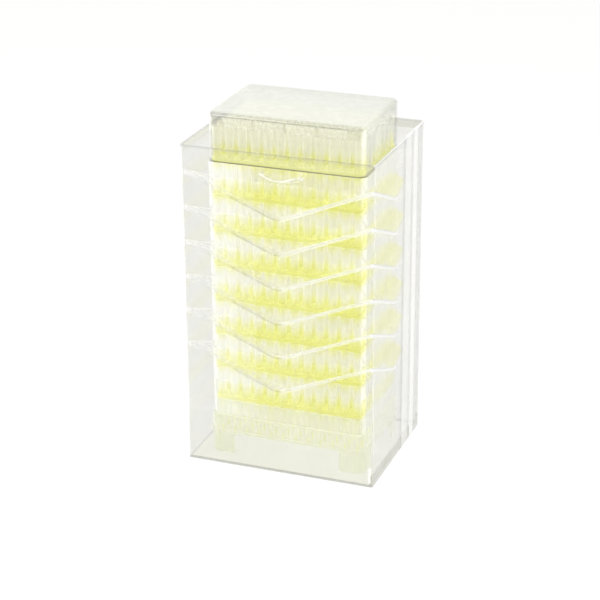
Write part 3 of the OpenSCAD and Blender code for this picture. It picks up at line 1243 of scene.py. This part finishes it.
@dataclass(frozen=True)
class Studio:
    """A pale sheet under the box, a pale surround and soft lamps. Lengths are in metres."""

    floor_half: float = 6.0
    floor_colour: str = "#f4f4f2"
    # Share of plain white that the floor shows over its own lit colour
    floor_white: float = 0.6
    surround: str = "#fafaf8"
    surround_strength: float = 1.0
    # What glossy sheets mirror: a dim room in front, white card behind, bright cards aside
    room: str = "#cacac8"
    card: str = "#ffffff"
    side_card: float = 2.6
    side_card_reach: float = 1.2
    side_card_fade: tuple[float, float] = (0.08, 0.16)
    # Where along Y the room turns into card, on the floor in metres and in a direction
    floor_fade: tuple[float, float] = (-0.3, 0.1)
    world_fade: tuple[float, float] = (-0.6, 0.2)
    # How often light may turn or pass a clear layer, for eight nested sleeves full of tips
    bounces: int = 14
    diffuse_bounces: int = 8
    glossy_bounces: int = 4
    clear_layers: int = 96
    lamps: tuple[SoftBox, ...] = (
        SoftBox("top_lamp", (0.0, -0.1, 1.5), (0.0, 0.0, 0.12), 1.4, 7.0),
        SoftBox("front_left_lamp", (-0.9, -1.3, 0.9), (0.0, 0.0, 0.12), 0.9, 10.5),
    )

    def mirrored_room(self, tree: Tree, place: Socket, fade: tuple[float, float]) -> Socket:
        """Colours what the glossy sheets mirror: a dim room in front, white card behind.

        Args:
            tree: The node tree.
            place: A point or direction whose Y runs from front to back.
            fade: The Y at which the room ends and the card begins.

        Returns:
            The mirrored colour.
        """
        parts = add_node(tree, Kind.SEPARATE_XYZ, {0: place})
        share = add_node(
            tree,
            Kind.MAP_RANGE,
            {
                "interpolation_type": "SMOOTHSTEP",
                "From Min": fade[0],
                "From Max": fade[1],
                "Value": parts.outputs["Y"],
            },
        )
        colour = add_node(
            tree,
            Kind.MIX_COLOUR,
            {"data_type": "RGBA", 6: srgb(self.room), 7: srgb(self.card), 0: share},
        )
        return colour.outputs[2]

    def side_cards(self, tree: Tree, place: Socket) -> Socket:
        """Brightens what lies to the left and right.

        Rounded walls mirror it as upright white lines, while a flat wall that the eye
        can see mirrors what lies more to the front or the back.

        Args:
            tree: The floor's node tree.
            place: A point on the floor in metres.

        Returns:
            The strength of the light: side_card where side_card_reach times |x| less |y| is
            past the fade, and 1 where it is short of it.
        """
        parts = add_node(tree, Kind.SEPARATE_XYZ, {0: place})
        aside = add_node(tree, Kind.MATH, {"operation": "ABSOLUTE", 0: parts.outputs["X"]})
        ahead = add_node(tree, Kind.MATH, {"operation": "ABSOLUTE", 0: parts.outputs["Y"]})
        wide = add_node(
            tree, Kind.MATH, {"operation": "MULTIPLY", 1: self.side_card_reach, 0: aside}
        )
        past = add_node(tree, Kind.MATH, {"operation": "SUBTRACT", 0: wide, 1: ahead})
        strength = add_node(
            tree,
            Kind.MAP_RANGE,
            {
                "interpolation_type": "SMOOTHSTEP",
                "From Min": self.side_card_fade[0],
                "From Max": self.side_card_fade[1],
                "To Min": 1.0,
                "To Max": self.side_card,
                "Value": past,
            },
        )
        return strength.outputs[0]

    def floor(self) -> None:
        """Lays the pale floor, which shows white and keeps a soft shadow."""
        half = self.floor_half
        corners = np.array([(-half, -half, 0), (half, -half, 0), (half, half, 0), (-half, half, 0)])
        piece = mesh_from_arrays("floor_sheet", corners, np.array([[0, 1, 2, 3]]), sharp_deg=30.0)
        material, tree = new_material("pale_floor")
        paper = add_node(tree, Kind.DIFFUSE, {"Color": srgb(self.floor_colour)})
        white = add_node(tree, Kind.EMISSION, {"Color": srgb("#ffffff"), "Strength": 1.0})
        rays = add_node(tree, Kind.LIGHT_PATH)
        seen = add_node(
            tree,
            Kind.MATH,
            {"operation": "MULTIPLY", 1: self.floor_white, 0: rays.outputs["Is Camera Ray"]},
        )
        mixed = add_node(tree, Kind.MIX_SHADER, {0: seen, 1: paper, 2: white})
        place = add_node(tree, Kind.PLACE).outputs["Object"]
        mirrored = self.mirrored_room(tree, place, self.floor_fade)
        card = add_node(
            tree, Kind.EMISSION, {"Color": mirrored, "Strength": self.side_cards(tree, place)}
        )
        whole = add_node(
            tree, Kind.MIX_SHADER, {0: rays.outputs["Is Glossy Ray"], 1: mixed, 2: card}
        )
        add_node(tree, Kind.SURFACE_OUT, {"Surface": whole})
        piece.data.materials.append(material)

    def world(self) -> None:
        """Surrounds the scene with pale light that shows as white."""
        world = bpy.data.worlds.new("pale_surround")
        bpy.context.scene.world = world
        world.use_nodes = True
        tree = world.node_tree
        tree.nodes.clear()
        rays = add_node(tree, Kind.LIGHT_PATH)
        light = add_node(
            tree,
            Kind.BACKGROUND,
            {"Color": srgb(self.surround), "Strength": self.surround_strength},
        )
        heading = add_node(tree, Kind.PLACE).outputs["Generated"]
        mirrored = self.mirrored_room(tree, heading, self.world_fade)
        pale = add_node(tree, Kind.BACKGROUND, {"Strength": 1.0, "Color": mirrored})
        white = add_node(tree, Kind.BACKGROUND, {"Color": srgb("#ffffff"), "Strength": 1.0})
        unseen = add_node(
            tree, Kind.MIX_SHADER, {0: rays.outputs["Is Glossy Ray"], 1: light, 2: pale}
        )
        mixed = add_node(
            tree, Kind.MIX_SHADER, {0: rays.outputs["Is Camera Ray"], 1: unseen, 2: white}
        )
        add_node(tree, Kind.WORLD_OUT, {"Surface": mixed})

    def build(self) -> None:
        """Sets up floor, surround and lamps, and lets rays pass many clear layers."""
        self.floor()
        self.world()
        for lamp in self.lamps:
            lamp.build()
        scene = bpy.context.scene
        scene.view_settings.view_transform = "Standard"
        scene.cycles.max_bounces = self.bounces
        scene.cycles.diffuse_bounces = self.diffuse_bounces
        scene.cycles.glossy_bounces = self.glossy_bounces
        scene.cycles.transparent_max_bounces = self.clear_layers


@dataclass(frozen=True)
class Viewpoint:
    """The camera's place, as turns about the box and a distance. Lengths are in metres."""

    azimuth: float = 20.63
    elevation: float = 22.47
    roll: float = -0.33
    aim: tuple[float, float, float] = (-0.0037, 0.0, 0.1069)
    distance: float = 1.306
    lens_mm: float = 113.8
    sensor_mm: float = 36.0

    def build(self) -> None:
        """Sets the camera at its distance behind the aim point, looking at it."""
        data = bpy.data.cameras.new("camera")
        data.lens = self.lens_mm
        data.sensor_width = self.sensor_mm
        camera = bpy.data.objects.new("camera", data)
        turn = (
            Matrix.Rotation(math.radians(self.azimuth), 4, "Z")
            @ Matrix.Rotation(math.radians(90.0 - self.elevation), 4, "X")
            @ Matrix.Rotation(math.radians(self.roll), 4, "Z")
        )
        back = turn @ Vector((0.0, 0.0, self.distance))
        camera.matrix_world = Matrix.Translation(Vector(self.aim) + back) @ turn
        bpy.context.scene.collection.objects.link(camera)
        bpy.context.scene.camera = camera


def main() -> None:
    """Builds the dressed box in its studio."""
    logging.basicConfig(level=logging.INFO, format="%(name)s: %(message)s")
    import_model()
    Viewpoint().build()
    Studio().build()
    TipBox().build()


if __name__ == "__main__":
    main()
